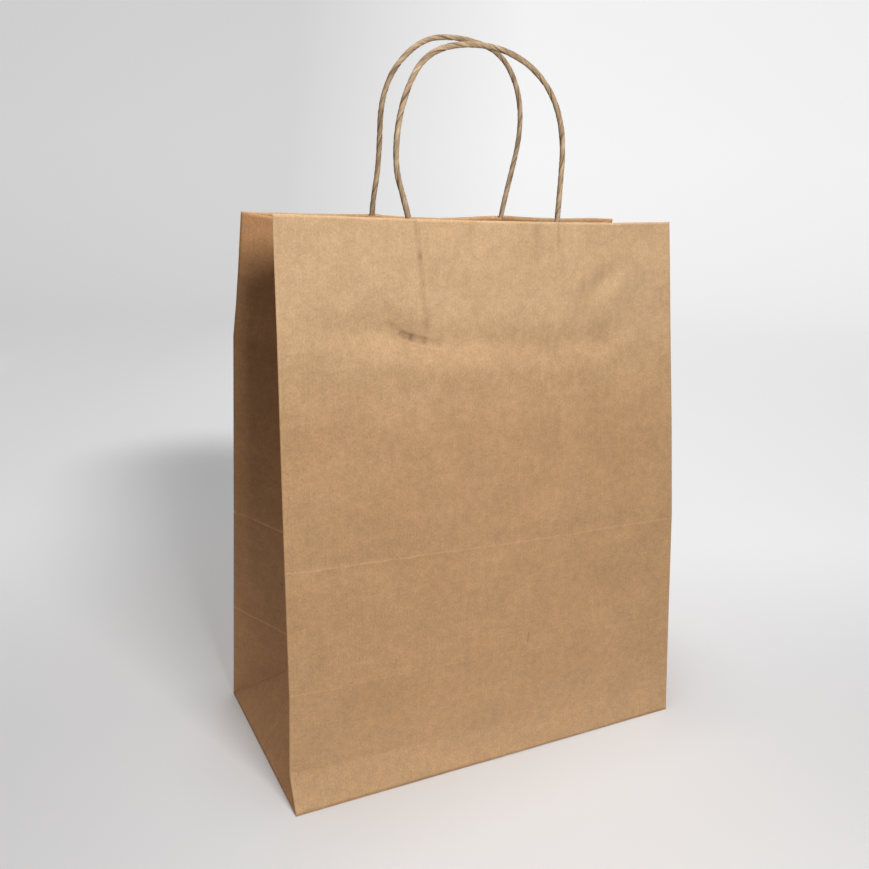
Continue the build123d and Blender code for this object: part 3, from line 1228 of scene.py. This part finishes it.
@dataclass
class SeamLap:
    """The lap inside the rear wall's right edge that closes the sheet into a tube."""

    finish: bpy.types.Material
    outer_gap: float = 0.0015
    width: float = 0.020
    low: float = 0.0010
    top_gap: float = 0.0005
    glue: float = 0.00002
    edge_lift: float = 0.0002
    edge_share: float = 1 / 6
    columns: int = 12
    row_size: float = 0.0018

    def build(self) -> None:
        """Build the lap below and above the upper crease."""
        parts = (
            ("lower", self.low, SHAPE.upper_crease, "lower_bag"),
            ("upper", SHAPE.upper_crease, SHAPE.rim - self.top_gap, "rear_upper"),
        )
        for name, low, high, body in parts:
            bm, across, along = unit_grid(self.columns, round((high - low) / self.row_size))
            x = SHAPE.half_width - self.outer_gap - self.width * (1 - across)
            dip = SHAPE.rim_height(Wall.REAR, x) - SHAPE.rim if name == "upper" else 0.0
            z = low + along * (high + dip - low)
            y = SHAPE.wall(Wall.REAR, x, z, SHAPE.paper + self.glue)
            y -= self.edge_lift * fading(across, self.edge_share)
            flat = np.stack([x + LAP_SHIFT, z, np.full_like(x, STRIP_LAYER)], axis=1)
            edge = fading(across * self.width, EDGE_WEAR_AND_HIGHLIGHT)
            settle(bm, np.stack([x, y, z], axis=1), flat, edge)
            piece = sheet(f"seam_lap_{name}_strip", bm, self.finish)
            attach(piece, body)
            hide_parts(f"seam_lap_{name}")
        log.info("seam lap: two strips")


# ---------------------------------------------------------------- cords

# (height, length in metres, share of the cord's own starting turn) of the waves along a cord
WANDER = ((0.35, 0.061, 1.0), (0.22, 0.023, 2.1))
SWELL = ((0.02, 0.019, 0.0), (0.02, 0.047, 0.0))
UNEVEN = ((0.35, 0.037, 1.3),)
# (height, pleats round the cord, sway, radians of sway per metre)
PLEATS = ((0.022, 7, 3, 180), (0.016, 12, 2, 410))


def waves(
    place: np.ndarray, rows: tuple[tuple[float, float, float], ...], start: float
) -> np.ndarray:
    """The sum of some waves along a cord.

    Args:
        place: distances along the cord.
        rows: height, length and share of the starting turn of each wave.
        start: the cord's starting turn, in radians.

    Returns:
        The sum at each place.
    """
    return sum(
        height * np.sin(2 * math.pi * place / length + share * start)
        for height, length, share in rows
    )


def spline_line(name: str, controls: list[tuple[float, float, float]]) -> np.ndarray:
    """The smooth line that a cord follows: a NURBS spline on its control points.

    Args:
        name: a name for the passing curve.
        controls: the control points.

    Returns:
        Closely spaced points along the spline.
    """
    curve = bpy.data.curves.new(name, "CURVE")
    curve.dimensions = "3D"
    curve.resolution_u = 32
    spline = curve.splines.new("NURBS")
    spline.points.add(len(controls) - 1)
    for point, control in zip(spline.points, controls):
        point.co = (*control, 1.0)
    spline.order_u = 3
    spline.use_endpoint_u = True
    holder = bpy.data.objects.new(name, curve)
    mesh = bpy.data.meshes.new_from_object(holder)
    line = np.array([vert.co for vert in mesh.vertices])
    bpy.data.objects.remove(holder)
    bpy.data.meshes.remove(mesh)
    bpy.data.curves.remove(curve)
    return line


@dataclass
class CordHandle:
    """A handle of twisted paper cord, from one buried end over its loop to the other."""

    wall: Wall
    finish: bpy.types.Material
    route: tuple[tuple[float, float], ...]
    plane: tuple[float, float]
    length: float
    twist_start: float
    diameter: float = 0.003
    lay_length: float = 0.026
    strands: int = 2
    groove_depth: float = 0.20
    step: float = 0.0007
    sides: int = 40
    groove_width: float = 0.085
    groove_share: float = 0.75
    fullness: float = 1.03
    glue_and_paper: float = 0.00032
    bury_top: float = 0.3150
    bend_below: float = 0.0035
    bend_above: float = 0.0110
    path_step: int = 4

    def controls(self) -> list[tuple[float, float, float]]:
        """The cord's control points, in metres.

        Returns:
            The buried end, the loop's route and the other buried end.
        """
        axis_z = self.axis().z
        loop = [(x, self.plane[0] + self.plane[1] * x, axis_z + h) for x, h in self.route]
        place = STRIPS[self.wall]
        deep = np.array([place.cord_foot, self.bury_top])
        ends = []
        for number in range(len(place.legs)):
            x = place.leg(number, deep)
            y = SHAPE.wall(self.wall, x, deep, self.glue_and_paper + self.diameter / 2)
            rim_y = self.plane[0] + self.plane[1] * x[1]
            ends.append([(x[0], y[0], deep[0]), (x[1], (y[1] + rim_y) / 2, deep[1])])
        return ends[0] + loop + ends[1][::-1]

    def build(self) -> None:
        """Build the cord as one twisted tube."""
        word = self.wall.word
        line = spline_line(f"{word}_cord_line", self.controls())
        runs = np.linalg.norm(np.diff(line, axis=0), axis=1)
        walked = np.concatenate([[0.0], np.cumsum(runs)])
        rings = round(walked[-1] / self.step)
        places = np.linspace(0, walked[-1], rings + 1)
        path = np.stack([np.interp(places, walked, line[:, i]) for i in range(3)], axis=1)
        piece = link(f"{word}_cord", self.tube(path, places))
        piece.data.materials.append(self.finish)
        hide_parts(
            f"{word}_handle_loop", f"{word}_cord_end_left", f"{word}_cord_end_right"
        )
        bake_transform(piece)
        log.info("%s cord: %.3f m long, %d rings", word, walked[-1], rings)

    def tube(self, path: np.ndarray, places: np.ndarray) -> bmesh.types.BMesh:
        """The twisted tube round a path.

        Args:
            path: the middle of each ring.
            places: the distance along the cord of each ring.

        Returns:
            Its closed mesh.
        """
        rings = len(path) - 1
        ahead = np.gradient(path, axis=0)
        ahead /= np.linalg.norm(ahead, axis=1)[:, None]
        aside = self.carry(ahead)
        other = np.cross(ahead, aside)
        bm, around, along = unit_grid(self.sides, rings)
        ring = np.clip(np.rint(along * rings).astype(int), 0, rings)
        angle = around * 2 * math.pi
        radius, groove, lay = self.section(angle, places[ring])
        offset = aside[ring] * np.cos(angle)[:, None] + other[ring] * np.sin(angle)[:, None]
        points = path[ring] + offset * radius[:, None]
        lay_layer = bm.verts.layers.float_vector.new("lay")
        groove_layer = bm.verts.layers.float.new("groove")
        for vert, point, place, deep in zip(bm.verts, points, lay, groove):
            vert.co = point
            vert[lay_layer] = (place[0], place[1], 0.0)
            vert[groove_layer] = deep
        bmesh.ops.remove_doubles(bm, verts=bm.verts, dist=MERGE_DISTANCE)
        open_ends = [edge for edge in bm.edges if edge.is_boundary]
        bmesh.ops.holes_fill(bm, edges=open_ends, sides=0)
        return bm

    def axis(self) -> Vector:
        """The point of the line about which the handle swings."""
        swing = f"{self.wall.word}_handle_swing"
        return Vector(next(j["pos_m"] for j in frame["joints"] if j["name"] == swing))

    def carry(self, ahead: np.ndarray) -> np.ndarray:
        """A sideways direction carried along the path without twisting.

        Args:
            ahead: the direction of the path at each ring.

        Returns:
            A unit vector across the path at each ring.
        """
        side = np.cross(ahead[0], (0.0, 1.0, 0.0))
        found = []
        for direction in ahead:
            side = side - direction * (side @ direction)
            side /= np.linalg.norm(side)
            found.append(side.copy())
        return np.array(found)

    def section(
        self, angle: np.ndarray, place: np.ndarray
    ) -> tuple[np.ndarray, np.ndarray, np.ndarray]:
        """The twisted cord's surface.

        Args:
            angle: directions round the cord, from 0 to a full turn.
            place: distances along it.

        Returns:
            The radius, how deep in a groove each point is from 0 to 1, and its place on the
            twisted strands for the finish's pattern.
        """
        wander = waves(place, WANDER, self.twist_start)
        turned = angle - 2 * math.pi * place / self.lay_length - wander - self.twist_start
        phase = np.mod(turned * self.strands / (2 * math.pi), 1.0)
        off = np.minimum(phase, 1 - phase)
        groove = np.exp(-((off / self.groove_width) ** 2))
        uneven = self.groove_share + waves(place, UNEVEN, self.twist_start)
        pleats = sum(
            height * np.sin(count * turned + sway * np.sin(place * pace))
            for height, count, sway, pace in PLEATS
        )
        swell = waves(place, SWELL, self.twist_start)
        full = self.fullness + swell + pleats
        radius = self.diameter / 2 * (full - self.groove_depth * groove * uneven)
        lay = np.stack([turned * self.diameter / 2 % (math.pi * self.diameter), place], axis=1)
        return radius, np.clip(groove * uneven, 0, 1), lay


# ---------------------------------------------------------------- the base and the studio


@dataclass
class BaseFlaps:
    """The four glued base flaps, which keep the frame's own shape."""

    finish: bpy.types.Material

    def build(self) -> None:
        """Dress the base flaps."""
        for name in ("side_flap_left", "side_flap_right", "front_flap", "rear_flap"):
            flap = frame["nodes"][f"base_{name}"]
            flap.data.materials.clear()
            flap.data.materials.append(self.finish)
        log.info("base: four flaps dressed")


@dataclass(frozen=True)
class Lamp:
    """A soft square lamp: its place, the point that it faces, its side and its power in watts."""

    name: str
    place: tuple[float, float, float]
    aim: tuple[float, float, float]
    size: float
    power: float

    def build(self) -> bpy.types.Object:
        """Make the lamp.

        Returns:
            The lamp.
        """
        data = bpy.data.lights.new(self.name, "AREA")
        data.size = self.size
        data.energy = self.power
        lamp = bpy.data.objects.new(self.name, data)
        lamp.location = self.place
        lamp.visible_camera = False
        facing = Vector(self.aim) - Vector(self.place)
        lamp.rotation_euler = facing.to_track_quat("-Z", "Y").to_euler()
        bpy.context.scene.collection.objects.link(lamp)
        return lamp


KEY_LAMP = Lamp("key", (-0.06, -0.66, 0.58), (0, 0, 0.42), 0.26, 4.75)
TOP_LAMP = Lamp("top", (-0.15, 0.05, 2.3), (-0.10, 0.05, 0), 0.9, 23)
BACK_LAMP = Lamp("back", (0.85, 1.10, 0.45), (0, 0, 0.16), 0.6, 8.5)

BACKDROP_CLOUDS = Grain(1.5, 2.0, 0.5, (0.3, 0.7))
BAG_SHADOW = PressMark((-0.11, 0.06), (-0.02, 0.60), 0.22, 0.0, 0.0)


@dataclass
class Studio:
    """A seamless pale floor and backdrop, soft light and the camera."""

    camera_place: tuple[float, float, float] = (-0.2548, -0.4670, 0.3268)
    yaw: float = 26.99
    pitch: float = 14.71
    roll: float = 1.65
    focal: float = 878.6 / 869
    sensor: float = 36.0
    floor_start: float = -3.5
    floor_run: float = 9.0
    floor_width: float = 12.0
    sweep_start: float = 2.0
    sweep_radius: float = 1.2
    backdrop_colour: Colour = (0.79, 0.785, 0.79, 1.0)
    lift_colour: Colour = (1.0, 1.0, 1.005, 1.0)
    lift: float = 0.74
    lift_curve: float = 0.42
    # the backdrop's lift is painted darker to the left of the bag and lighter to the right: painted
    # light
    lift_sides: tuple[float, float] = (0.74, 1.08)
    lift_in_shadow: float = 0.22
    air: tuple[float, float] = (0.02, 0.72)

    def camera(self) -> None:
        """Make the camera."""
        yaw, pitch, roll = (math.radians(a) for a in (self.yaw, self.pitch, self.roll))
        ahead = Vector((math.sin(yaw) * math.cos(pitch), math.cos(yaw) * math.cos(pitch),
                        -math.sin(pitch)))
        right = Vector((math.cos(yaw), -math.sin(yaw), 0))
        up = right.cross(ahead)
        across = right * math.cos(roll) + up * math.sin(roll)
        upright = up * math.cos(roll) - right * math.sin(roll)
        data = bpy.data.cameras.new("camera")
        data.sensor_width = self.sensor
        data.lens = self.focal * self.sensor
        data.clip_start = 0.01
        data.clip_end = 50
        eye = bpy.data.objects.new("camera", data)
        turn = Matrix((across, upright, -ahead)).transposed().to_4x4()
        eye.matrix_world = Matrix.Translation(self.camera_place) @ turn
        bpy.context.scene.collection.objects.link(eye)
        bpy.context.scene.camera = eye

    def backdrop(self) -> None:
        """Make the floor that sweeps up into a backdrop."""
        bm = bmesh.new()
        bmesh.ops.create_grid(bm, x_segments=24, y_segments=96, size=0.5)
        bend, radius = self.sweep_start, self.sweep_radius
        for vert in bm.verts:
            run = (vert.co.y + 0.5) * self.floor_run + self.floor_start
            x = vert.co.x * self.floor_width
            if run < bend:
                vert.co = (x, run, 0)
            elif run < bend + radius * math.pi / 2:
                turn = (run - bend) / radius
                vert.co = (x, bend + radius * math.sin(turn), radius * (1 - math.cos(turn)))
            else:
                vert.co = (x, bend + radius, radius + run - bend - radius * math.pi / 2)
        turn = Matrix.Rotation(-math.radians(self.yaw), 4, "Z")
        bmesh.ops.transform(bm, matrix=turn, verts=bm.verts)
        floor = link("studio_floor", bm)
        floor.data.materials.append(self.backdrop_paper())

    def backdrop_paper(self) -> bpy.types.Material:
        """Make the backdrop's finish, which is lifted only where the eye sees it.

        Returns:
            The finished material.
        """
        g = Graph("studio_paper")
        place = g.node("ShaderNodeTexCoord").outputs["Object"]
        soft = g.spread(g.noise(place, BACKDROP_CLOUDS), *BACKDROP_CLOUDS.band, 0.995, 1.005)
        rays = g.node("ShaderNodeLightPath").outputs
        seen = g.math("MAXIMUM", rays["Is Camera Ray"], rays["Is Glossy Ray"])
        seen = g.math("MAXIMUM", seen, rays["Is Transmission Ray"])
        reach = g.node("ShaderNodeVectorMath", operation="LENGTH")
        g.put(reach.inputs[0], place)
        near = g.spread(reach.outputs["Value"], 0.18, 0.60, 1.18, 0.10)
        soft = g.math("MULTIPLY", soft, g.blend_value(seen, near, 1.0))
        g.put(g.shader.inputs["Base Color"], g.shade(self.backdrop_colour, soft))
        g.shader.inputs["Emission Color"].default_value = self.lift_colour
        strength = g.math("MULTIPLY", self.lifted(g, place), seen)
        g.put(g.shader.inputs["Emission Strength"], strength)
        g.shader.inputs["Roughness"].default_value = 0.9
        g.shader.inputs["Specular IOR Level"].default_value = 0.1
        return g.material

    def lifted(self, g: Graph, place: object) -> bpy.types.NodeSocket:
        """How much the backdrop is lifted behind, beside and in front of the bag.

        Args:
            g: the backdrop's graph.
            place: the place on the backdrop.

        Returns:
            The lift, less of it along the bag's shadow.
        """
        yaw = math.radians(self.yaw)
        away = g.dot(place, (math.sin(yaw), math.cos(yaw), 0.0))
        side = g.dot(place, (math.cos(yaw), -math.sin(yaw), 0.0))
        far = g.math("POWER", g.spread(away, -0.3, 3.0), self.lift_curve)
        far = g.math("MULTIPLY", far, self.lift)
        far = g.math("MULTIPLY", far, g.spread(away, -0.2, 0.35, easing="SMOOTHSTEP"))
        ahead = g.spread(away, -0.20, -0.75, 0.0, 0.62, "SMOOTHSTEP")
        beside = g.spread(g.math("ABSOLUTE", side), 0.35, 0.90, 0.0, 0.55, "SMOOTHSTEP")
        most = g.math("MAXIMUM", far, g.math("MAXIMUM", ahead, beside))
        # painted light: the lift grows from the left of the bag to its right
        lift = g.math("MULTIPLY", most, g.spread(side, -0.6, 0.3, *self.lift_sides))
        shadow = g.near_line(place, BAG_SHADOW)
        return g.math("MULTIPLY", lift, g.spread(shadow, 0.0, 1.0, 1.0, self.lift_in_shadow))

    def surroundings(self) -> None:
        """Make the world: dim for the light, pale where the eye sees it."""
        world = bpy.data.worlds.new("studio_air")
        world.use_nodes = True
        tree = world.node_tree
        air = tree.nodes["Background"]
        air.inputs["Color"].default_value = (1.0, 1.0, 1.0, 1.0)
        rays = tree.nodes.new("ShaderNodeLightPath").outputs
        seen = rays["Is Camera Ray"]
        for ray in ("Is Glossy Ray", "Is Transmission Ray"):
            either = tree.nodes.new("ShaderNodeMath")
            either.operation = "MAXIMUM"
            tree.links.new(seen, either.inputs[0])
            tree.links.new(rays[ray], either.inputs[1])
            seen = either.outputs[0]
        strength = tree.nodes.new("ShaderNodeMapRange")
        strength.inputs["To Min"].default_value, strength.inputs["To Max"].default_value = self.air
        tree.links.new(seen, strength.inputs["Value"])
        tree.links.new(strength.outputs["Result"], air.inputs["Strength"])
        bpy.context.scene.world = world

    def lamps(self) -> None:
        """Make the lamps, of which the back one lights only the bag's own pieces."""
        KEY_LAMP.build()
        TOP_LAMP.build()
        bag = bpy.data.collections.new("lit_from_behind")
        for piece in bpy.context.scene.objects:
            if piece.type == "MESH":
                bag.objects.link(piece)
        BACK_LAMP.build().light_linking.receiver_collection = bag

    def build(self) -> None:
        """Set the colour management, world, lamps, backdrop and camera."""
        bpy.context.scene.view_settings.view_transform = "Standard"
        self.surroundings()
        self.lamps()
        self.backdrop()
        self.camera()
        log.info("studio: backdrop, lamps and camera")


# ---------------------------------------------------------------- assembly

KRAFT = (0.485, 0.287, 0.140, 1.0)
KRAFT_PALE = (0.525, 0.318, 0.162, 1.0)
# the paler kraft of the top band and the foot: painted sheen and light
KRAFT_LIT_PALE = (0.575, 0.372, 0.203, 1.0)


def main() -> None:
    """Build the bag's pieces in order, then the studio."""
    logging.basicConfig(level=logging.INFO, format="%(name)s: %(message)s")
    front = KraftPaper("kraft_front", KRAFT, KRAFT_PALE, presses=FRONT_CREASES_AND_SHADING,
                       handled=KRAFT_LIT_PALE).build()
    rear = KraftPaper("kraft_rear", KRAFT, KRAFT_PALE, presses=REAR_CREASES_AND_SHADING,
                      handled=KRAFT_LIT_PALE).build()
    # the gussets' kraft is a redder copy of the walls' kraft, the colour the paper shows in shade:
    # painted shade
    gusset = KraftPaper("kraft_gusset", (0.555, 0.288, 0.128, 1.0), (0.595, 0.317, 0.149, 1.0),
                        presses=GUSSET_CREASES_AND_SHADING).build()
    plain = KraftPaper("kraft_plain", KRAFT, KRAFT_PALE).build()
    strip = KraftPaper("kraft_strip", (0.50, 0.287, 0.140, 1.0), (0.54, 0.315, 0.158, 1.0)).build()
    base = KraftPaper("kraft_base", KRAFT, KRAFT_PALE, space=PatternSpace.OBJECT).build()
    cord = TwistedCord("twisted_cord", (0.36, 0.235, 0.135, 1.0), (0.075, 0.042, 0.022, 1.0),
                       (0.56, 0.400, 0.245, 1.0)).build()
    for wall, finish in zip(Wall, (front, rear)):
        LongWall(wall, finish).build()
        HandleStrips(wall, strip).build()
    for hand in Hand:
        SideGusset(hand, gusset).build()
    SeamLap(plain).build()
    BaseFlaps(base).build()
    CordHandle(
        Wall.FRONT, cord,
        route=((-0.0559, 0.0026), (-0.0632, 0.0239), (-0.0590, 0.0557), (-0.0440, 0.0810),
               (-0.0044, 0.0865), (0.0274, 0.0742), (0.0442, 0.0475), (0.0433, 0.0058)),
        plane=(-0.03290, 0.0450), length=0.356, twist_start=0.6,
    ).build()
    CordHandle(
        Wall.REAR, cord,
        route=((-0.0524, 0.0045), (-0.0487, 0.0254), (-0.0480, 0.0674), (-0.0250, 0.0939),
               (0.0016, 0.0981), (0.0349, 0.0919), (0.0505, 0.0571), (0.0374, 0.0049)),
        plane=(0.01960, 0.0450), length=0.378, twist_start=2.2,
    ).build()
    Studio().build()


if __name__ == "__main__":
    main()
